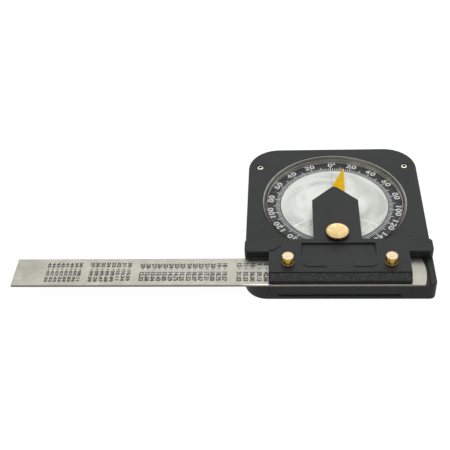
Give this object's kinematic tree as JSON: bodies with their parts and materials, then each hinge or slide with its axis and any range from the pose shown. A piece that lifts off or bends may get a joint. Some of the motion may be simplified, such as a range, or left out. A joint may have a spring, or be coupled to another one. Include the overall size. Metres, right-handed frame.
{
  "type": "inclinometer",
  "caption": "Flat inclinometer with a turning dial under a clear lens, a swinging yellow pointer, and a steel rule held in the front edge by brass thumbscrews.",
  "frame": {"origin": "point where the dial's axis meets the flat back face", "axes": "+X along the rule towards its bowed end, -Y out of the straight reference edge, +Z out of the dial's face"},
  "size_m": [0.2135, 0.111, 0.0206],
  "materials": {
    "case_plastic": "fine moulded grain",
    "cover_plastic": "fine moulded grain",
    "carrier_plastic": "fine moulded grain",
    "insert_plastic": "machined plastic",
    "brass": "brushed, knurled",
    "screw_steel": "nickel plated",
    "rule_steel": "brushed along its length",
    "pin_steel": "polished",
    "cup_plastic": "smooth",
    "band_print": "smooth, printed",
    "disc_metal": "satin",
    "lens_clear": "clear, polished",
    "gasket_rubber": "smooth",
    "felt": "pressed felt",
    "pointer_paint": "satin enamel",
    "weight_metal": "plain",
    "magnet": "flexible magnet",
    "pad_nylon": "natural nylon"
  },
  "bodies": {
    "housing": {"case_body": "case_plastic", "rear_cover": "cover_plastic", "friction_ring": "felt", "carrier": "carrier_plastic", "carrier_screws": "screw_steel", "edge_insert": "insert_plastic", "edge_insert_screws": "screw_steel", "magnet_strip": "magnet", "corner_screws": "screw_steel", "rear_screws": "screw_steel", "dial_lock_insert": "brass", "clamp_inserts": "brass"},
    "dial": {"dial_cup": "cup_plastic", "scale_ring": "band_print", "dial_disc": "disc_metal", "pivot_bush": "brass", "pivot_pin": "pin_steel", "pivot_cap": "brass", "lens_gasket": "gasket_rubber", "lens": "lens_clear"},
    "pendulum": {"pointer_hub": "brass", "pointer": "pointer_paint", "pendulum_weight": "weight_metal"},
    "rule": {"steel_rule": "rule_steel"},
    "lock_pad": {"dial_lock_pad": "pad_nylon"},
    "lock_screw": {"dial_lock_screw": "brass"},
    "left_pad": {"left_clamp_pad": "pad_nylon"},
    "left_screw": {"left_clamp_screw": "brass"},
    "right_pad": {"right_clamp_pad": "pad_nylon"},
    "right_screw": {"right_clamp_screw": "brass"}
  },
  "joints": [
    {"name": "dial_turn", "type": "hinge", "parent": "housing", "child": "dial", "pos_m": [0, 0, 0.007], "axis": [0, 0, 1], "continuous": true},
    {"name": "pendulum_swing", "type": "hinge", "parent": "dial", "child": "pendulum", "pos_m": [0, 0, 0.009], "axis": [0, 0, 1], "continuous": true},
    {"name": "rule_slide", "type": "slide", "parent": "housing", "child": "rule", "axis": [1, 0, 0], "range_m": [-0.06, 0.001]},
    {"name": "lock_pad_lift", "type": "slide", "parent": "housing", "child": "lock_pad", "axis": [0, 0, 1], "range_m": [0, 0.0005]},
    {"name": "lock_screw_turn", "type": "hinge", "parent": "lock_pad", "child": "lock_screw", "pos_m": [0, -0.0314, 0.0156], "axis": [0, 0, 1], "range_deg": [0, 360]},
    {"name": "left_pad_lift", "type": "slide", "parent": "housing", "child": "left_pad", "axis": [0, 0, 1], "range_m": [0, 0.001]},
    {"name": "left_screw_turn", "type": "hinge", "parent": "left_pad", "child": "left_screw", "pos_m": [-0.0256, -0.0527, 0.0156], "axis": [0, 0, 1], "range_deg": [0, 720]},
    {"name": "right_pad_lift", "type": "slide", "parent": "housing", "child": "right_pad", "axis": [0, 0, 1], "range_m": [0, 0.001]},
    {"name": "right_screw_turn", "type": "hinge", "parent": "right_pad", "child": "right_screw", "pos_m": [0.0256, -0.0527, 0.0156], "axis": [0, 0, 1], "range_deg": [0, 720]}
  ],
  "couplings": [
    {"joint": "lock_screw_turn", "follows": "lock_pad_lift", "rad_per_m": 12566},
    {"joint": "left_screw_turn", "follows": "left_pad_lift", "rad_per_m": 12566},
    {"joint": "right_screw_turn", "follows": "right_pad_lift", "rad_per_m": 12566}
  ]
}
